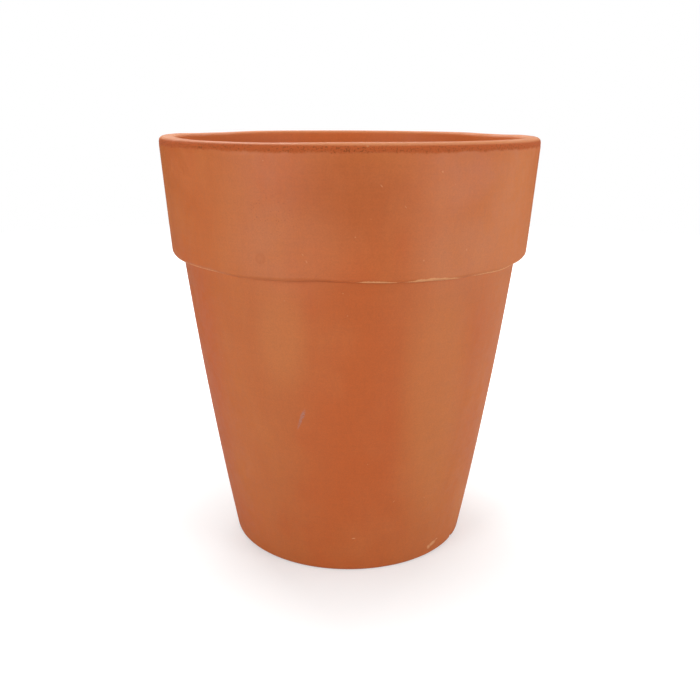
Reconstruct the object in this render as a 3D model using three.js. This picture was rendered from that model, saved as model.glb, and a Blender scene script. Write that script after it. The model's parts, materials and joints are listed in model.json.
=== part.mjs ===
// A tall terracotta plant pot with a deep collar: one piece of fired clay, modelled as one closed solid.
// Units are millimetres and +Z is up. The origin is the centre of the plane that the pot stands on.
import * as THREE from "three";

// Heights above the ground.
const HEIGHT = 267.7;
const LEDGE_HEIGHT = 194.6; // underside of the collar
const FLOOR_TOP = 12; // top of the clay floor inside
const RECESS_HEIGHT = 2; // the underside inside the foot ring is raised by this much

// Radii outside, each where the lines beside it would meet in a sharp corner. Over its rounded lip the pot
// is 240 mm wide.
const LIP_RADIUS = 120.3;
const COLLAR_BOTTOM_RADIUS = 115.1;
const WALL_TOP_RADIUS = 108.4;
const FOOT_RADIUS = 78.9;
const RECESS_RADIUS = 63;
const RECESS_SLOPE = 1.5; // how much wider the recess is at the ground than at its roof

// Radii inside.
const MOUTH_RADIUS = 109.8;
const FLOOR_RADIUS = 72;
const DRAIN_RADIUS = 12;

// The outer wall swells out by this much, halfway up between the foot and the collar.
const WALL_BULGE = 1.5;
const WALL_STEPS = 6;

// Radii of the rounded corners.
const ROUND = {
  foot: 2.6,
  underCollar: 1,
  collarEdge: 3,
  lipOutside: 3.8,
  lipInside: 3,
  floor: 12,
  drain: 1.5,
  recess: 1,
};

const SEGMENTS = 80; // round the axis
const ARC_STEP = Math.PI / 8; // the most that one step of a rounded corner turns

// Radius of the outer wall at a height between the ground and the collar: a taper with a slight swell.
function wallRadius(z) {
  const t = z / LEDGE_HEIGHT;
  const taper = THREE.MathUtils.lerp(FOOT_RADIUS, WALL_TOP_RADIUS, t);
  return taper + 4 * WALL_BULGE * t * (1 - t);
}

// A corner of the section: its radius from the axis, its height, and the radius that it is rounded to.
function corner(r, z, round = 0) {
  return { at: new THREE.Vector2(r, z), round };
}

// The swollen stretch of the outer wall, as corners between the foot and the collar.
function wallCorners() {
  const corners = [];
  for (let i = 1; i < WALL_STEPS; i += 1) {
    const z = (LEDGE_HEIGHT * i) / WALL_STEPS;
    corners.push(corner(wallRadius(z), z));
  }
  return corners;
}

// The whole section, from the recess under the floor outwards, up the outside, over the lip, down the
// inside and back through the drain hole.
function sectionCorners() {
  return [
    corner(DRAIN_RADIUS, RECESS_HEIGHT, ROUND.drain),
    corner(RECESS_RADIUS, RECESS_HEIGHT, ROUND.recess),
    corner(RECESS_RADIUS + RECESS_SLOPE, 0),
    corner(FOOT_RADIUS, 0, ROUND.foot),
    ...wallCorners(),
    corner(WALL_TOP_RADIUS, LEDGE_HEIGHT, ROUND.underCollar),
    corner(COLLAR_BOTTOM_RADIUS, LEDGE_HEIGHT, ROUND.collarEdge),
    corner(LIP_RADIUS, HEIGHT, ROUND.lipOutside),
    corner(MOUTH_RADIUS, HEIGHT, ROUND.lipInside),
    corner(FLOOR_RADIUS, FLOOR_TOP, ROUND.floor),
    corner(DRAIN_RADIUS, FLOOR_TOP, ROUND.drain),
  ];
}

// Points of the arc that rounds the corner `at` between its neighbours `before` and `after`.
function arcPoints(before, at, after, round) {
  const back = before.clone().sub(at).normalize();
  const ahead = after.clone().sub(at).normalize();
  const half = Math.acos(THREE.MathUtils.clamp(back.dot(ahead), -1, 1)) / 2;
  const start = at.clone().addScaledVector(back, round / Math.tan(half));
  const toCentre = back.clone().add(ahead).normalize();
  const centre = at.clone().addScaledVector(toCentre, round / Math.sin(half));
  const turn = (Math.PI - 2 * half) * Math.sign(ahead.cross(back));
  const steps = Math.ceil(Math.abs(turn) / ARC_STEP);
  const points = [];
  for (let i = 0; i <= steps; i += 1) {
    points.push(start.clone().rotateAround(centre, (turn * i) / steps));
  }
  return points;
}

// The closed outline of the section, with its last point on its first.
function sectionOutline(corners) {
  const points = [];
  corners.forEach(({ at, round }, i) => {
    if (round === 0) {
      points.push(at.clone());
      return;
    }
    const before = corners[(i + corners.length - 1) % corners.length].at;
    const after = corners[(i + 1) % corners.length].at;
    points.push(...arcPoints(before, at, after, round));
  });
  points.push(points[0].clone());
  return points;
}

function buildPot() {
  const geometry = new THREE.LatheGeometry(sectionOutline(sectionCorners()), SEGMENTS);
  const terracotta = new THREE.MeshStandardMaterial({ color: "#bd6a42", roughness: 0.8, metalness: 0 });
  const pot = new THREE.Mesh(geometry, terracotta);
  pot.name = "pot";
  pot.rotation.x = Math.PI / 2; // the lathe turns about Y, and the pot stands up along Z
  return pot;
}

const group = new THREE.Group();
group.add(buildPot());

export default group;
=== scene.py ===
# A tall terracotta plant pot on a pale studio floor. Metres, +Z up. Angles round the pot are in degrees
# from its front (-Y), positive towards +X.
import json
import math
from collections import namedtuple

import bpy
from mathutils import Matrix, Vector, noise


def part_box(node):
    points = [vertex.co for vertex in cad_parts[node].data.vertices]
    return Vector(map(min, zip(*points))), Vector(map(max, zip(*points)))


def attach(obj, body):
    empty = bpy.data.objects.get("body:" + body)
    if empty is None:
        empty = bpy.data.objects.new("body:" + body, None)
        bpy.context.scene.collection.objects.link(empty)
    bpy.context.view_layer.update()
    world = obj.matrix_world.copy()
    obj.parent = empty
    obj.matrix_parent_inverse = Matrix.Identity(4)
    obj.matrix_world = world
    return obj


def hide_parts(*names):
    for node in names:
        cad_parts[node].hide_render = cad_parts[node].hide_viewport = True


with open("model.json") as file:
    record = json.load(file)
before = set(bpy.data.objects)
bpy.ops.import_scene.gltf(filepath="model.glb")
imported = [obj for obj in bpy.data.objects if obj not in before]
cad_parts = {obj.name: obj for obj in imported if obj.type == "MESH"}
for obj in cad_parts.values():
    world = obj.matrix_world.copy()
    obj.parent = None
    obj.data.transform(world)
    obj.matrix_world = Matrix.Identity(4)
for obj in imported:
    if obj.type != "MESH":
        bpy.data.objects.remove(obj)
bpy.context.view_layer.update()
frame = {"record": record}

MM = 0.001

# ---------------------------------------------------------------- sizes, from the frame where it has them
LOW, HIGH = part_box("pot")
MOUNTS = {mount["name"]: mount["pos_m"] for mount in frame["record"]["mounts"]}
LIP_RADIUS = (HIGH[0] - LOW[0]) / 2
HEIGHT = HIGH[2] - LOW[2]
LEDGE_Z = MOUNTS["collar_ledge"][2]
FLOOR_Z = MOUNTS["inside_floor"][2]

# Radii where the lines of the section would meet in sharp corners.
LIP_CORNER = LIP_RADIUS + 0.3 * MM
COLLAR_BOTTOM = LIP_RADIUS - 4.9 * MM
WALL_TOP = LIP_RADIUS - 11.6 * MM
FOOT = LIP_RADIUS - 40.75 * MM
MOUTH = LIP_RADIUS - 10.2 * MM
FLOOR = LIP_RADIUS - 48 * MM
RECESS = 63 * MM
RECESS_SLOPE = 1.5 * MM  # how much wider the recess is at the ground than at its roof
RECESS_Z = 2 * MM
DRAIN = 12 * MM
WALL_BULGE = 1.7 * MM

# Radii of the rounded corners.
RECESS_ROUND = 1 * MM
FOOT_INSIDE_ROUND = 0.5 * MM
FOOT_ROUND = 2.6 * MM
UNDER_COLLAR_ROUND = 1 * MM
COLLAR_EDGE_ROUND = 2.5 * MM
LIP_OUTSIDE_ROUND = 3.5 * MM
LIP_INSIDE_ROUND = 3 * MM
FLOOR_ROUND = 12 * MM
DRAIN_ROUND = 1.5 * MM

BAND_TOP = HEIGHT - 1.9 * MM  # a rough dark band runs round the collar, just under the smooth lip
BAND_BOTTOM = HEIGHT - 5.2 * MM

SEGMENTS = 384  # round the pot
WALL_STEPS = 12  # straight stretches that make up the wall's swell
WALL_SPACING = 3.9 * MM
BAND_START = HEIGHT - 8 * MM  # from here up to the lip the rings are closer together
ARC_STEP = math.radians(11)  # the most that one step of a rounded corner turns
FINE_ARC_STEP = math.radians(6)


def smooth(low, high, value):
    """0 below `low`, 1 above `high` and an even rise between them. It falls where `high` is the lower."""
    t = max(0.0, min(1.0, (value - low) / (high - low)))
    return t * t * (3 - 2 * t)


# ---------------------------------------------------------------- the section of the pot
Corner = namedtuple("Corner", "part at rounding spacing step")
Ring = namedtuple("Ring", "part at normal along")  # `along` is the way along the section


def corner(part, r, z, rounding=0.0, spacing=4 * MM, step=ARC_STEP):
    """A corner of the section. The stretch after it belongs to `part` and has a ring every `spacing`."""
    return Corner(part, Vector((r, z)), rounding, spacing, step)


def wall_radius(z):
    """The outer wall between the foot and the collar: a straight taper with a slight swell."""
    t = z / LEDGE_Z
    return FOOT + (WALL_TOP - FOOT) * t + 4 * WALL_BULGE * t * (1 - t)


def collar_radius(z):
    return COLLAR_BOTTOM + (LIP_CORNER - COLLAR_BOTTOM) * (z - LEDGE_Z) / (HEIGHT - LEDGE_Z)


def outside_radius(z):
    return collar_radius(z) if z > LEDGE_Z else wall_radius(z)


def section_corners():
    """Out along the underside, up the outside, over the lip, down the inside and into the drain hole."""
    wall = []
    for i in range(1, WALL_STEPS):
        z = LEDGE_Z * i / WALL_STEPS
        wall.append(corner("wall", wall_radius(z), z, spacing=WALL_SPACING))
    return [
        corner("under", DRAIN, RECESS_Z, DRAIN_ROUND, spacing=5 * MM),
        corner("foot", RECESS, RECESS_Z, RECESS_ROUND),
        corner("foot", RECESS + RECESS_SLOPE, 0, FOOT_INSIDE_ROUND, spacing=3 * MM),
        corner("wall", FOOT, 0, FOOT_ROUND, spacing=WALL_SPACING),
        *wall,
        corner("ledge", WALL_TOP, LEDGE_Z, UNDER_COLLAR_ROUND, spacing=0.8 * MM),
        corner("collar", COLLAR_BOTTOM, LEDGE_Z, COLLAR_EDGE_ROUND, spacing=2.3 * MM, step=FINE_ARC_STEP),
        corner("collar", collar_radius(BAND_START), BAND_START, spacing=0.7 * MM),
        corner("lip", LIP_CORNER, HEIGHT, LIP_OUTSIDE_ROUND, spacing=1 * MM),
        corner("inside", MOUTH, HEIGHT, LIP_INSIDE_ROUND, spacing=4.8 * MM),
        corner("floor", FLOOR, FLOOR_Z, FLOOR_ROUND, spacing=4 * MM),
        corner("drain", DRAIN, FLOOR_Z, DRAIN_ROUND, spacing=3 * MM),
    ]


def rounded(before, corner, after):
    """Points of the arc that rounds a corner between its neighbours."""
    at = corner.at
    if corner.rounding == 0:
        return [at]
    back = (before - at).normalized()
    ahead = (after - at).normalized()
    half = math.acos(max(-1.0, min(1.0, back.dot(ahead)))) / 2
    start = at + back * (corner.rounding / math.tan(half))
    centre = at + (back + ahead).normalized() * (corner.rounding / math.sin(half))
    turn = math.pi - 2 * half
    if ahead.x * back.y - ahead.y * back.x < 0:
        turn = -turn
    steps = max(1, math.ceil(abs(turn) / corner.step))
    arm = start - centre
    points = []
    for i in range(steps + 1):
        a = turn * i / steps
        points.append(centre + Vector((arm.x * math.cos(a) - arm.y * math.sin(a),
                                       arm.x * math.sin(a) + arm.y * math.cos(a))))
    return points


def section_points():
    """The closed section as (part, point) pairs, evenly filled in between its rounded corners."""
    corners = section_corners()
    arcs = []
    for i, this in enumerate(corners):
        arcs.append(rounded(corners[i - 1].at, this, corners[(i + 1) % len(corners)].at))
    points = []
    for i, this in enumerate(corners):
        points += [(this.part, p) for p in arcs[i]]
        start, end = arcs[i][-1], arcs[(i + 1) % len(corners)][0]
        steps = max(1, round((end - start).length / this.spacing))
        points += [(this.part, start.lerp(end, k / steps)) for k in range(1, steps)]
    return points


def section_rings():
    points = section_points()
    rings = []
    along = 0.0
    for i, (part, at) in enumerate(points):
        before, after = points[i - 1][1], points[(i + 1) % len(points)][1]
        tangent = (after - before).normalized()
        rings.append(Ring(part, at, Vector((tangent.y, -tangent.x)), along))
        along += (after - at).length
    return rings


# ---------------------------------------------------------------- unevenness that the real surface has
PARTING = Vector((COLLAR_BOTTOM - 1.7 * MM, LEDGE_Z + 0.3 * MM))  # the two moulds meet round this line
PARTING_WIDTH = 0.9 * MM
FIN_HEIGHT = 0.4 * MM  # the thin fin of clay that the moulds leave there
FIN_OUT, FIN_DOWN = 0.6, 0.8  # the way that the fin points

SLIP_THICKNESS = 0.22 * MM
SLIP_LIMIT = 2.0  # the attribute "slip" stays within this, in millimetres
SMEAR_THICKNESS = 2.6 * MM
BAND_DEPTH = 0.16 * MM  # how far the rough band lies below the collar's surface
TURNING_DEPTH = 0.09 * MM
TURNING_PITCH = 10.5 * MM

# Stretches where dried slip covers the collar's lower edge: start and end in degrees, and height above it.
SLIPS = [
    (-88, -31, 1.0 * MM),
    (0, 15, 1.4 * MM),
    (13, 36, 1.3 * MM),
    (15.5, 31, 2.1 * MM),
    (31, 92, 1.45 * MM),
    (118, 151, 0.7 * MM),
    (196, 209, 1.9 * MM),
    (231, 262, 0.5 * MM),
]

# How much lower than its plane the collar's lower edge hangs, at angles all the way round.
EDGE_DROPS = [
    (-180, 0.4 * MM),
    (-145, 0.1 * MM),
    (-112, -0.5 * MM),
    (-80, -1.0 * MM),
    (-60, -0.5 * MM),
    (-45, -0.3 * MM),
    (-31, 0.85 * MM),
    (-20, 0.5 * MM),
    (-9, -0.6 * MM),
    (1, 0.1 * MM),
    (12, 0.6 * MM),
    (21, 0.6 * MM),
    (31, 0.8 * MM),
    (40, 0.5 * MM),
    (50, 0.8 * MM),
    (60, -0.4 * MM),
    (72, -1.0 * MM),
    (90, -1.0 * MM),
    (118, -0.2 * MM),
    (150, 0.1 * MM),
    (180, 0.4 * MM),
]

# Stretches where the lip is a little low: middle and half width in degrees, and drop.
RIM_DIPS = [
    (-38, 42, 1.0 * MM),
    (-122, 24, 0.6 * MM),
    (118, 18, 0.5 * MM),
]


def wobble(where, size, seed=0.0):
    """Smooth noise from -1 to 1 with lumps about `size` across."""
    return noise.noise(where / size + Vector((seed, -seed, 2 * seed)))


def turned(degrees, middle):
    """The angle between two directions round the pot, from 0 to 180."""
    return abs((degrees - middle + 180) % 360 - 180)


def slip_height(degrees, where):
    """How far above the collar's lower edge the slip reaches here. Below 0 there is none."""
    height = 0.0
    for start, end, tall in SLIPS:
        middle, half = (start + end) / 2, (end - start) / 2
        height = max(height, tall * smooth(half, half * 0.45, turned(degrees, middle)))
    level = Vector((where.x, where.y, 0))
    ragged = 0.9 + 0.25 * wobble(level, 7 * MM, 3.1) + 0.15 * wobble(level, 2.2 * MM, 7.7)
    return height * min(1.15, ragged) - 0.15 * MM


def edge_sag(degrees):
    """How much lower than its plane the collar's lower edge hangs here."""
    turn = (degrees + 180) % 360 - 180
    for (start, first), (end, second) in zip(EDGE_DROPS, EDGE_DROPS[1:]):
        if turn <= end:
            return first + (second - first) * smooth(start, end, turn)
    return EDGE_DROPS[-1][1]


def smeared(degrees):
    """1 at the front, where clay is smeared into the corner under the collar."""
    return smooth(16, 8, turned(degrees, 3))


def smear(ring, degrees):
    """How far out the smeared clay lies."""
    fill = SMEAR_THICKNESS * smeared(degrees)
    if ring.part == "wall":
        return fill * smooth(LEDGE_Z - 6 * MM, LEDGE_Z - 0.8 * MM, ring.at.y)
    if ring.part == "ledge":
        return fill * smooth(COLLAR_BOTTOM - COLLAR_EDGE_ROUND, WALL_TOP + 0.5 * MM, ring.at.x)
    return 0.0


def rim_dip(degrees, z):
    """How much lower than its plane the lip is here. The drop fades out down the collar and inside."""
    dip = sum(drop * smooth(half, half * 0.2, turned(degrees, middle)) for middle, half, drop in RIM_DIPS)
    return dip * smooth(HEIGHT - 45 * MM, HEIGHT - 8 * MM, z)


def turning(ring, angle):
    """The shallow spiral that the forming tool leaves down the inside and across the floor."""
    if ring.part not in ("inside", "floor"):
        return 0.0
    fade = smooth(HEIGHT - 6 * MM, HEIGHT - 22 * MM, ring.at.y)
    if ring.part == "floor":
        fade *= smooth(DRAIN + 2 * MM, DRAIN + 8 * MM, ring.at.x)
    return TURNING_DEPTH * fade * math.sin(math.tau * ring.along / TURNING_PITCH + angle)


def relief(ring, angle, where):
    """How far the surface lies off its true section, along its normal. Outside it is never proud of it."""
    lift = 0.07 * MM * (wobble(where, 48 * MM) - 1) + 0.02 * MM * (wobble(where, 9 * MM, 5.2) - 1)
    if ring.part == "foot":
        return min(0.0, lift) * smooth(0, 1 * MM, ring.at.y)
    if ring.part in ("under", "drain"):
        return 0.1 * MM * wobble(where, 7 * MM, 1.7)
    ragged = BAND_BOTTOM + 0.5 * MM * wobble(where, 7 * MM, 9.3)
    if ring.part in ("collar", "lip") and ring.at.x > MOUTH + 6 * MM:
        above = smooth(ragged - 0.9 * MM, ragged + 0.9 * MM, ring.at.y)
        below = smooth(BAND_TOP + 0.3 * MM, BAND_TOP - 0.5 * MM, ring.at.y)
        lift -= BAND_DEPTH * above * below
    if ring.part == "ledge":
        lift *= smooth(WALL_TOP, WALL_TOP + 1 * MM, ring.at.x)
    return lift + turning(ring, angle)


NICKS = [  # on the foot's outer edge: angle, width in degrees and depth
    (63, 1.9, 0.9 * MM),
    (-98, 2.6, 1.1 * MM),
    (-161, 1.6, 0.8 * MM),
    (142, 3.0, 1.0 * MM),
]


def nick(ring, degrees):
    """Small knocks out of the foot's outer edge, round the sides and back."""
    depth = 0.0
    edge = smooth(6 * MM, 1.5 * MM, ring.at.y) * smooth(FOOT - 7 * MM, FOOT - 2 * MM, ring.at.x)
    if ring.part not in ("foot", "wall") or edge == 0:
        return 0.0
    for at, wide, deep in NICKS:
        depth = max(depth, deep * smooth(wide, wide * 0.4, turned(degrees, at)))
    return -depth * edge


# ---------------------------------------------------------------- the pot's mesh
CHARTS = [  # the parts of each strip of the unwrap, and the strip's bottom and top
    (("under", "foot"), 0.004, 0.106),
    (("wall",), 0.114, 0.476),
    (("ledge", "collar", "lip"), 0.484, 0.706),
    (("inside",), 0.714, 0.926),
    (("floor", "drain"), 0.934, 0.996),
]


def shifted(ring, angle):
    """One point of a ring with its unevenness, and how many millimetres of slip lie above it."""
    degrees = math.degrees(angle)
    across = Vector((math.sin(angle), -math.cos(angle), 0))
    up = Vector((0, 0, 1))
    where = across * ring.at.x + up * ring.at.y
    off = relief(ring, angle, where) + nick(ring, degrees)
    slip = -SLIP_LIMIT
    sag = 0.0
    fin = 0.0
    if ring.part in ("ledge", "collar") and ring.at.y < LEDGE_Z + 16 * MM:
        out = smooth(WALL_TOP, WALL_TOP + 4 * MM, ring.at.x)
        sag = edge_sag(degrees) * out * smooth(LEDGE_Z + 14 * MM, LEDGE_Z, ring.at.y)
        above = ring.at.y - LEDGE_Z
        covered = min(slip_height(degrees, where) - above, above - 0.2 * MM) - 4 * MM * (1 - out)
        slip = max(-SLIP_LIMIT, min(SLIP_LIMIT, covered / MM))
        off += SLIP_THICKNESS * smooth(-0.25, 0.35, slip)
        ragged = 0.65 + 0.6 * wobble(where, 9 * MM, 2.3)
        fin = FIN_HEIGHT * max(0.0, ragged) * smooth(PARTING_WIDTH, 0, (ring.at - PARTING).length)
        fin *= 1 - smeared(degrees)
    point = where + (across * ring.normal.x + up * ring.normal.y) * off
    point += (across * FIN_OUT - up * FIN_DOWN) * fin - up * (sag + rim_dip(degrees, ring.at.y))
    point += across * smear(ring, degrees)
    return point, slip


def write_attribute(mesh, name, values):
    mesh.attributes.new(name, "FLOAT", "POINT").data.foreach_set("value", values)


def unwrap(mesh, rings):
    """Lays each stretch of the section out as a strip of its own, the full way round the pot."""
    bottoms = {}
    tops = {}
    for parts, low, high in CHARTS:
        members = [i for i, ring in enumerate(rings) if ring.part in parts]
        start, end = rings[members[0]].along, rings[members[-1]].along + 3 * MM
        for i in members:
            following = rings[i + 1].along if i + 1 < len(rings) else end
            bottoms[i] = low + (high - low) * (rings[i].along - start) / (end - start)
            tops[i] = low + (high - low) * (min(following, end) - start) / (end - start)
    margin = 0.004
    coordinates = []
    for i in range(len(rings)):
        for j in range(SEGMENTS):
            left = margin + (1 - 2 * margin) * j / SEGMENTS
            right = margin + (1 - 2 * margin) * (j + 1) / SEGMENTS
            coordinates += [left, bottoms[i], right, bottoms[i], right, tops[i], left, tops[i]]
    mesh.uv_layers.new(name="OFBake").data.foreach_set("uv", coordinates)


def build_pot():
    rings = section_rings()
    vertices = []
    slips = []
    inner = []
    under = []
    for ring in rings:
        for j in range(SEGMENTS):
            point, slip = shifted(ring, math.tau * j / SEGMENTS)
            vertices.append(point)
            slips.append(slip)
        inner += [float(ring.part in ("inside", "floor", "drain"))] * SEGMENTS
        under += [float(ring.part in ("under", "foot"))] * SEGMENTS
    faces = []
    for i in range(len(rings)):
        this, following = i * SEGMENTS, (i + 1) % len(rings) * SEGMENTS
        for j in range(SEGMENTS):
            k = (j + 1) % SEGMENTS
            faces.append((this + j, this + k, following + k, following + j))
    mesh = bpy.data.meshes.new("terracotta_pot")
    mesh.from_pydata(vertices, [], faces)
    mesh.shade_smooth()
    write_attribute(mesh, "slip", slips)
    write_attribute(mesh, "inner", inner)
    write_attribute(mesh, "under", under)
    unwrap(mesh, rings)
    pot = bpy.data.objects.new("terracotta_pot", mesh)
    bpy.context.scene.collection.objects.link(pot)
    return pot


# ---------------------------------------------------------------- shading helpers
class Shading:
    """A material under construction. Each method adds a node and gives back its output socket."""

    def __init__(self, name):
        self.material = bpy.data.materials.new(name)
        self.material.use_nodes = True
        self.tree = self.material.node_tree
        self.surface = self.tree.nodes["Principled BSDF"]

    def feed(self, socket, value):
        """Links a socket to another, or sets it to a number, a vector or a colour."""
        if isinstance(value, bpy.types.NodeSocket):
            self.tree.links.new(value, socket)
        elif socket.type == "RGBA":
            socket.default_value = (*value, 1)
        else:
            socket.default_value = value

    def add(self, kind, inputs, output=0, **settings):
        node = self.tree.nodes.new(kind)
        for name, value in settings.items():
            setattr(node, name, value)
        for name, value in inputs.items():
            self.feed(node.inputs[name], value)
        return node.outputs[output]

    def position(self):
        return self.add("ShaderNodeTexCoord", {}, "Object")

    def attribute(self, name):
        return self.add("ShaderNodeAttribute", {}, "Fac", attribute_name=name)

    def split(self, vector):
        node = self.tree.nodes.new("ShaderNodeSeparateXYZ")
        self.feed(node.inputs[0], vector)
        return node.outputs

    def join(self, x, y, z):
        return self.add("ShaderNodeCombineXYZ", {"X": x, "Y": y, "Z": z})

    def math(self, operation, *values):
        return self.add("ShaderNodeMath", dict(enumerate(values)), operation=operation)

    def scaled(self, vector, factors):
        return self.add("ShaderNodeVectorMath", {0: vector, 1: factors}, operation="MULTIPLY")

    def noise(self, vector, size, detail=2.0, roughness=0.5):
        inputs = {"Vector": vector, "Scale": 1 / size, "Detail": detail, "Roughness": roughness}
        return self.add("ShaderNodeTexNoise", inputs)

    def cells(self, vector, size, output="Distance"):
        """Voronoi cells about `size` across. The distance is from a cell's middle, 1 for a whole cell."""
        return self.add("ShaderNodeTexVoronoi", {"Vector": vector, "Scale": 1 / size}, output)

    def ramp(self, value, start, end, low=0.0, high=1.0):
        """`low` up to `start`, `high` from `end` on, smooth between. `start` may be the larger."""
        if start > end:
            start, end, low, high = end, start, high, low
        inputs = {"Value": value, "From Min": start, "From Max": end, "To Min": low, "To Max": high}
        return self.add("ShaderNodeMapRange", inputs, interpolation_type="SMOOTHSTEP")

    def mixed(self, factor, first, second):
        inputs = {0: factor, 6: first, 7: second}
        return self.add("ShaderNodeMix", inputs, 2, data_type="RGBA")

    def ellipse(self, vector, centre, size, tilt):
        """Distance from the middle of an ellipse on the unrolled surface: 1 at its edge. `size` is half axes.

        It uses no Mapping node: one in each ellipse nearly fills the memory that Cycles gives a material,
        and a material that needs more is drawn black without an error."""
        cos, sin = math.cos(tilt), math.sin(tilt)
        offset = self.add("ShaderNodeVectorMath", {0: vector, 1: centre}, operation="SUBTRACT")
        along = self.dot(offset, (cos / size[0], sin / size[0], 0))
        across = self.dot(offset, (-sin / size[1], cos / size[1], 0))
        local = self.join(along, across, 0)
        return self.add("ShaderNodeVectorMath", {0: local}, "Value", operation="LENGTH")

    def dot(self, first, second):
        return self.add("ShaderNodeVectorMath", {0: first, 1: second}, "Value", operation="DOT_PRODUCT")


# ---------------------------------------------------------------- fired clay
CLAY = (0.574, 0.144, 0.0315)
CLAY_RED = (0.576, 0.117, 0.0210)
CLAY_DARK = (0.515, 0.118, 0.0240)
CLAY_PALE = (0.622, 0.186, 0.0460)
CLAY_INSIDE = (0.670, 0.165, 0.0285)
# Painted highlight: the top of the lip, where the overhead softboxes fall on it.
CLAY_LIP = (0.745, 0.282, 0.1120)
# Pale bloom in the clay. The bloom patches in PATCHES use it as a painted highlight.
BLOOM_AND_HIGHLIGHT = (0.66, 0.27, 0.120)
BAND_CLAY = (0.515, 0.103, 0.0190)
PIT = (0.28, 0.066, 0.0080)
SLIP = (0.79, 0.365, 0.155)
SCUFF = (0.46, 0.215, 0.170)
DUST = (0.64, 0.235, 0.105)
SAND = (0.70, 0.245, 0.095)
GROG = (0.40, 0.075, 0.020)

# Pale scratches and crumbs of slip on the outside: angle, height, length, width and tilt in degrees.
CRUMBS = [
    (43.6, 8.0, 7.0, 3.4, 18),
    (41.2, 6.6, 3.0, 3.6, 22),
    (46.3, 10.0, 2.6, 1.1, 6),
    (2.4, 25.5, 2.6, 0.8, 2),
    (18.6, 51.0, 2.2, 0.6, 48),
    (32.9, 49.0, 1.0, 0.9, 0),
    (7.1, 79.7, 1.1, 0.7, 30),
    (-0.5, 174.5, 1.1, 0.7, 80),
    (-19.6, 181.6, 1.0, 0.9, 0),
    (20.1, 206.0, 1.2, 1.1, 0),
    (33.6, 210.0, 1.0, 1.6, 0),
    (-12.3, 209.6, 1.6, 0.8, -50),
    (-11.3, 205.9, 2.0, 0.8, -60),
    (14.3, 235.0, 1.9, 0.7, -50),
    (7.9, 246.0, 2.0, 0.7, -48),
    (23.9, 252.6, 1.3, 1.2, 0),
    (4.3, 265.8, 1.7, 1.1, 0),
    (-1.8, 187.5, 1.0, 0.8, 0),
    (1.5, 219.5, 1.0, 0.8, 0),
    (-22, 258, 1.0, 0.7, 0),
    (-104, 88, 3.4, 0.9, 35),
    (-131, 231, 1.4, 1.2, 0),
    (97, 142, 1.3, 1.0, 0),
    (128, 60, 2.6, 0.8, -40),
    (161, 226, 2.8, 0.8, 20),
    (-167, 121, 1.5, 1.1, 0),
]


# Broad patches of another colour: that colour, how much of it there is, and each patch's angle, height, half
# width and half height.
# Some are painted light. The red patch at 5° and the dark one at 0°, 240 mm are painted shade: the deeper,
# darker colour on the front between the softboxes' highlights. The pale patches at -22°, 32° and 58° and both
# bloom patches are painted highlights, where the softboxes' sheen falls on the front.
# The pale one at 62° near the foot only makes the clay paler there. The others are the kiln's uneven firing.
# None reaches the back, where the unrolled surface has its seam.
PATCHES = [
    (CLAY_RED, 0.85, [(5, 105, 38, 120), (-68, 110, 32, 120), (-120, 80, 40, 80), (140, 150, 38, 80)]),
    (CLAY_DARK, 0.8, [(0, 240, 36, 27), (-135, 60, 36, 50)]),
    (CLAY_PALE, 0.7, [
        (32, 115, 26, 100),
        (-22, 160, 18, 34),
        (58, 222, 46, 60),
        (62, 26, 12, 22),
        (88, 90, 30, 80),
    ]),
    (BLOOM_AND_HIGHLIGHT, 0.16, [(31, 207, 30, 24), (-17, 210, 44, 26)]),
]

FRECKLES = (-21, 231, 19, 15)  # a patch of fine dark dots: angle, height, half width and half height
SMUDGE = (-24.5, 206, 3.1)  # a round mark with a darker rim: angle, height and radius


def on_outside(degrees, height):
    """A place on the unrolled outside."""
    z = height * MM
    return (math.radians(degrees) * outside_radius(z), z, 0)


def crumb_mask(s, unrolled):
    """1 on the pale scratches and crumbs."""
    nearest = 99.0
    for degrees, height, length, width, tilt in CRUMBS:
        size = (length / 2 * MM, width / 2 * MM)
        distance = s.ellipse(unrolled, on_outside(degrees, height), size, math.radians(tilt))
        nearest = s.math("MINIMUM", distance, nearest)
    return s.ramp(nearest, 1.25, 0.35)


def patch_mask(s, unrolled, patches, uneven):
    """1 in the middle of each broad patch, with a wide, uneven change round it."""
    nearest = 99.0
    for degrees, height, half_width, half_height in patches:
        size = (half_width * MM, half_height * MM)
        nearest = s.math("MINIMUM", s.ellipse(unrolled, on_outside(degrees, height), size, 0), nearest)
    return s.ramp(s.math("MULTIPLY_ADD", uneven, 0.5, nearest), 1.5, 0.6)


def scuff_mask(s, unrolled, grain):
    """A slanted scuff low on the front left, wider at its top."""
    long_stroke = s.ellipse(unrolled, on_outside(-16.7, 108.6), (7.6 * MM, 1.1 * MM), math.radians(71))
    wide_end = s.ellipse(unrolled, on_outside(-16.0, 111.4), (4.2 * MM, 1.45 * MM), math.radians(69))
    nearest = s.math("MINIMUM", long_stroke, wide_end)
    return s.math("MULTIPLY", s.ramp(nearest, 1.15, 0.4), s.ramp(grain, 0.40, 0.60, 0.25, 1))


def band_mask(s, z, outer, coarse, grain):
    """1 on the rough band under the lip, with a ragged lower edge."""
    uneven = s.math("MULTIPLY_ADD", s.math("SUBTRACT", grain, 0.5), 0.8, s.math("SUBTRACT", coarse, 0.5))
    ragged = s.math("MULTIPLY_ADD", uneven, 2.6 * MM, z)
    above = s.ramp(ragged, BAND_BOTTOM - 0.9 * MM, BAND_BOTTOM + 0.9 * MM)
    below = s.ramp(z, BAND_TOP + 0.8 * MM, BAND_TOP - 0.5 * MM)
    return s.math("MULTIPLY", s.math("MULTIPLY", above, below), outer)


def speckle(s, position, size, radius, share):
    """Separate round grains of about `radius`, in the given share of cells that are `size` across."""
    distance = s.cells(position, size)
    chance = s.split(s.cells(position, size, "Color"))[0]
    grain = s.ramp(distance, radius / size, 0.5 * radius / size)
    return s.math("MULTIPLY", grain, s.math("LESS_THAN", chance, share))


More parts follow.
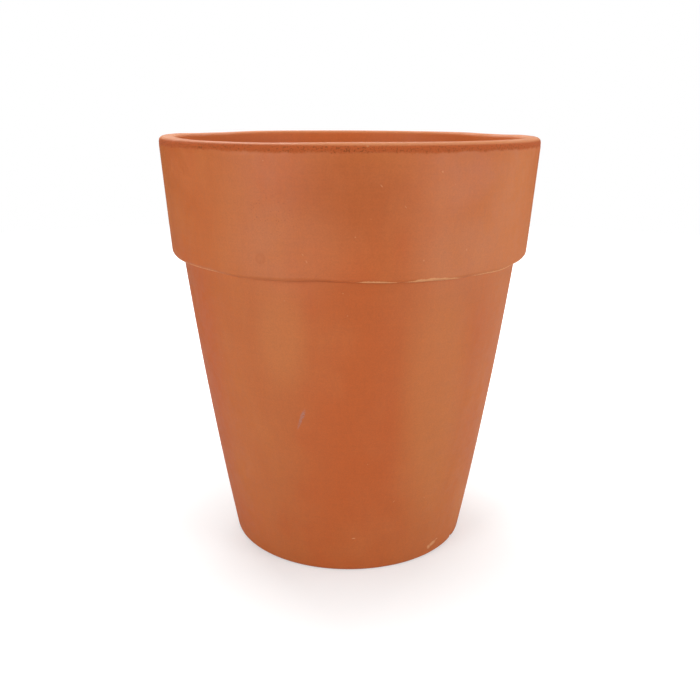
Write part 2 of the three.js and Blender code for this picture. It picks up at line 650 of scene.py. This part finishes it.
def clay():
    s = Shading("fired_clay")
    position = s.position()
    x, y, z = s.split(position)
    around = s.math("ARCTAN2", x, s.math("MULTIPLY", y, -1))
    radius = s.math("SQRT", s.math("MULTIPLY_ADD", x, x, s.math("MULTIPLY", y, y)))
    unrolled = s.join(s.math("MULTIPLY", around, radius), z, 0)
    inner = s.attribute("inner")
    under = s.attribute("under")
    outer = s.math("SUBTRACT", s.math("SUBTRACT", 1, inner), under)

    upright = s.scaled(position, (1, 1, 0.22))
    level = s.scaled(position, (0.03, 0.03, 1))
    mottle = s.noise(s.scaled(position, (1, 1, 0.6)), 52 * MM, 3, 0.55)
    streaks = s.noise(upright, 11 * MM, 3, 0.6)
    fine_streaks = s.noise(upright, 2.6 * MM, 2, 0.6)
    lines = s.noise(level, 2.4 * MM, 3, 0.65)
    coarse = s.noise(position, 5 * MM, 3, 0.6)
    grain = s.noise(position, 0.9 * MM, 4, 0.7)
    fine = s.noise(position, 0.35 * MM, 2, 0.6)

    # Colour: uneven firing, then broad patches (some of them painted shade and painted highlights), the lip's
    # painted highlight, the bloom, grains of sand and grog, the band and what has stuck to the pot.
    firing = s.math("MULTIPLY_ADD", streaks, 0.2, s.math("MULTIPLY", mottle, 0.8))
    colour = s.mixed(s.ramp(firing, 0.32, 0.52, 0.4, 1), CLAY_RED, CLAY)
    colour = s.mixed(s.ramp(firing, 0.5, 0.7, 0, 0.5), colour, CLAY_PALE)
    # Some of these patches are painted light: painted shade on the middle of the front, and painted
    # highlights where the softboxes' sheen falls.
    for tint, strength, patches in PATCHES:
        share = s.math("MULTIPLY", patch_mask(s, unrolled, patches, mottle), strength)
        colour = s.mixed(share, colour, tint)
    colour = s.mixed(s.math("MULTIPLY", inner, 0.8), colour, CLAY_INSIDE)
    # The top of the lip is painted paler in colour: a painted highlight from the overhead softboxes. Its
    # roughness is also raised below.
    highlit_lip_top = s.ramp(z, BAND_TOP - 0.4 * MM, BAND_TOP + 1.5 * MM)
    colour = s.mixed(s.math("MULTIPLY", highlit_lip_top, 0.75), colour, CLAY_LIP)
    bloom = s.ramp(s.noise(position, 34 * MM, 4, 0.6), 0.48, 0.72)
    bloom = s.math("MULTIPLY", bloom, s.ramp(grain, 0.2, 0.7))
    colour = s.mixed(s.math("MULTIPLY", bloom, 0.14), colour, BLOOM_AND_HIGHLIGHT)
    value = 1
    for pattern, amount in [(grain, 0.055), (fine_streaks, 0.012), (lines, 0.012), (coarse, 0.015)]:
        value = s.math("ADD", value, s.ramp(pattern, 0.3, 0.7, -amount, amount))
    colour = s.add("ShaderNodeVectorMath", {0: colour, 1: s.join(value, value, value)}, operation="MULTIPLY")

    sand = speckle(s, position, 5.5 * MM, 0.33 * MM, 0.22)
    grog = speckle(s, position, 3.0 * MM, 0.27 * MM, 0.30)
    colour = s.mixed(s.math("MULTIPLY", sand, 0.6), colour, SAND)
    colour = s.mixed(s.math("MULTIPLY", grog, 0.55), colour, GROG)

    low_inside = s.math("MULTIPLY", inner, s.ramp(z, FLOOR_Z + 30 * MM, FLOOR_Z, 0.1, 0.7))
    dusty = s.math("MAXIMUM", under, low_inside)
    dusty = s.math("MULTIPLY", dusty, s.ramp(coarse, 0.35, 0.65, 0.35, 1))
    colour = s.mixed(s.math("MULTIPLY", dusty, 0.6), colour, DUST)

    band = band_mask(s, z, outer, coarse, grain)
    pitted = s.ramp(s.noise(position, 16 * MM, 2), 0.42, 0.62, 0.7, 1)
    pits = s.ramp(s.noise(position, 0.8 * MM, 1), 0.53, 0.66)
    pits = s.math("MULTIPLY", pits, s.math("MULTIPLY", band, pitted))
    colour = s.mixed(band, colour, BAND_CLAY)
    colour = s.mixed(s.math("MULTIPLY", pits, 0.8), colour, PIT)

    degrees, at_height, half_width, half_height = FRECKLES
    freckled = s.ellipse(unrolled, on_outside(degrees, at_height), (half_width * MM, half_height * MM), 0)
    freckles = speckle(s, position, 1.5 * MM, 0.36 * MM, 0.5)
    freckles = s.math("MULTIPLY", freckles, s.ramp(freckled, 1.2, 0.4))
    freckles = s.math("MULTIPLY", freckles, outer)
    colour = s.mixed(s.math("MULTIPLY", freckles, 0.7), colour, GROG)
    degrees, at_height, across = SMUDGE
    smudge = s.ellipse(unrolled, on_outside(degrees, at_height), (across * MM, across * MM), 0)
    smudge = s.math("MULTIPLY", s.ramp(smudge, 1.25, 0.8), s.ramp(smudge, 0.2, 0.8, 0.45, 1))
    colour = s.mixed(s.math("MULTIPLY", smudge, 0.4), colour, CLAY_DARK)

    crumbs = s.math("MULTIPLY", crumb_mask(s, unrolled), s.ramp(grain, 0.3, 0.5, 0.4, 1))
    crumbs = s.math("MULTIPLY", crumbs, outer)
    slip_edge = s.math("MULTIPLY_ADD", s.math("SUBTRACT", grain, 0.5), 0.9, s.attribute("slip"))
    slip = s.math("MULTIPLY", s.ramp(slip_edge, -0.15, 0.2), s.ramp(coarse, 0.3, 0.55, 0.8, 1))
    scuff = s.math("MULTIPLY", scuff_mask(s, unrolled, grain), outer)
    chipped = s.math("MULTIPLY", crumbs, s.ramp(z, 20 * MM, 40 * MM, 1, 0.42))
    colour = s.mixed(s.math("MAXIMUM", slip, chipped), colour, SLIP)
    colour = s.mixed(scuff, colour, SCUFF)

    # Roughness: the clay has a soft sheen. The band, the slip, the bloom and the dust have none, and the
    # lip has less.
    matt = s.math("MAXIMUM", s.math("MAXIMUM", band, dusty), s.math("MAXIMUM", slip, bloom))
    roughness = s.math("ADD", s.ramp(coarse, 0.3, 0.7, 0.50, 0.58), s.ramp(grain, 0.3, 0.7, -0.03, 0.03))
    to_matt = s.math("SUBTRACT", 0.92, roughness)
    roughness = s.math("MULTIPLY_ADD", to_matt, s.math("MULTIPLY", matt, 0.9), roughness)
    roughness = s.math("ADD", roughness, s.math("MULTIPLY", highlit_lip_top, 0.1))

    # Bump, in millimetres.
    height = s.math("MULTIPLY", grain, 0.030)
    for pattern, rise in [
        (fine, 0.012),
        (lines, 0.020),
        (coarse, 0.045),
        (pits, -0.12),
        (freckles, -0.08),
        (s.math("MULTIPLY", band, grain), 0.18),
        (crumbs, 0.12),
        (scuff, -0.05),
        (s.math("MULTIPLY", slip, grain), 0.20),
        (s.math("MULTIPLY", dusty, grain), 0.14),
        (grog, -0.08),
    ]:
        height = s.math("MULTIPLY_ADD", pattern, rise, height)
    bump = s.add("ShaderNodeBump", {"Height": height, "Distance": MM})

    s.feed(s.surface.inputs["Base Color"], colour)
    s.feed(s.surface.inputs["Roughness"], roughness)
    s.feed(s.surface.inputs["Normal"], bump)
    s.feed(s.surface.inputs["Specular IOR Level"], 0.46)
    return s.material


# ---------------------------------------------------------------- studio
def seen_by_camera(tree):
    """1 for what the camera sees directly, and 0 for the light that things throw on each other."""
    return tree.nodes.new("ShaderNodeLightPath").outputs["Is Camera Ray"]


def studio_floor():
    """A white table that runs into the white behind it, with the pot's soft shadow on it."""
    bpy.ops.mesh.primitive_circle_add(vertices=96, radius=1.6, fill_type="NGON")
    floor = bpy.context.object
    floor.name = "studio_floor"
    white = Shading("studio_white")
    distance = white.add("ShaderNodeVectorMath", {0: white.position()}, "Value", operation="LENGTH")
    clear_of_pot = white.ramp(distance, 0.03, 0.07)  # 0 in the middle, so none shows in the drain hole
    glow = white.math("MULTIPLY", white.ramp(distance, 0.05, 0.30, 0.45, 1), clear_of_pot)
    glow = white.math("MULTIPLY", glow, seen_by_camera(white.tree))
    white.feed(white.surface.inputs["Base Color"], (0.55, 0.55, 0.55))
    white.feed(white.surface.inputs["Roughness"], 0.9)
    white.feed(white.surface.inputs["Emission Color"], (1, 1, 1))
    white.feed(white.surface.inputs["Emission Strength"], glow)
    floor.data.materials.append(white.material)


LIGHT_DISTANCE = 1.3  # from the middle of the pot
LIGHTS = [  # name, azimuth and elevation in degrees, width and height in metres, and power in watts
    ("left", -43.5, 12, (0.5, 0.5), 8.6),
    ("right", 56.5, 8, (0.5, 0.45), 6.8),
    ("right_rear", 94, 6, (0.5, 0.45), 2.6),
    ("overhead_left", -68, 68, (0.9, 0.9), 4.0),
    ("overhead_right", 72, 66, (0.9, 0.9), 5.0),
    ("back_left", -152, 46, (0.7, 0.45), 7.5),
    ("back_right", 160, 42, (1.2, 0.45), 6.0),
]


def softbox(name, azimuth, elevation, size, power):
    """A soft rectangular light that looks at the middle of the pot."""
    light = bpy.data.lights.new(name, "AREA")
    light.shape = "RECTANGLE"
    light.size, light.size_y = size
    light.energy = power
    lamp = bpy.data.objects.new(name, light)
    a, e = math.radians(azimuth), math.radians(elevation)
    away = Vector((math.sin(a) * math.cos(e), -math.cos(a) * math.cos(e), math.sin(e)))
    lamp.location = Vector((0, 0, HEIGHT / 2)) + away * LIGHT_DISTANCE
    lamp.rotation_euler = away.to_track_quat("Z", "Y").to_euler()
    bpy.context.scene.collection.objects.link(lamp)


def studio_world():
    """What the camera sees past the floor is plain white. It lights nothing: the softboxes do that."""
    world = bpy.data.worlds.new("studio")
    world.use_nodes = True
    bpy.context.scene.world = world
    tree = world.node_tree
    background = tree.nodes["Background"]
    background.inputs["Color"].default_value = (1, 1, 1, 1)
    tree.links.new(seen_by_camera(tree), background.inputs["Strength"])
    bpy.context.scene.view_settings.view_transform = "Standard"


SENSOR_MM = 36
LENS_MM = 42.33
CAMERA_DISTANCE = 0.5452  # from the pot's axis
CAMERA_RISE = 16.4 * MM  # above the lip
CAMERA_DOWN = 16.37  # degrees below level
CAMERA_YAW = -0.08
CAMERA_ROLL = 0.29


def studio_camera():
    """Slightly above the rim and tilted down, as a product photograph is taken."""
    data = bpy.data.cameras.new("camera")
    data.sensor_width = SENSOR_MM
    data.lens = LENS_MM
    camera = bpy.data.objects.new("camera", data)
    pitch = Matrix.Rotation(math.radians(90 - CAMERA_DOWN), 4, "X")
    yaw = Matrix.Rotation(math.radians(CAMERA_YAW), 4, "Z")
    roll = Matrix.Rotation(math.radians(CAMERA_ROLL), 4, "Z")
    place = Matrix.Translation((0, -CAMERA_DISTANCE, HEIGHT + CAMERA_RISE))
    camera.matrix_world = place @ yaw @ pitch @ roll
    bpy.context.scene.collection.objects.link(camera)
    bpy.context.scene.camera = camera


# ---------------------------------------------------------------- the scene
pot = build_pot()
pot.data.materials.append(clay())
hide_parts("pot")
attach(pot, "root")

studio_floor()
studio_world()
for light in LIGHTS:
    softbox(*light)
studio_camera()
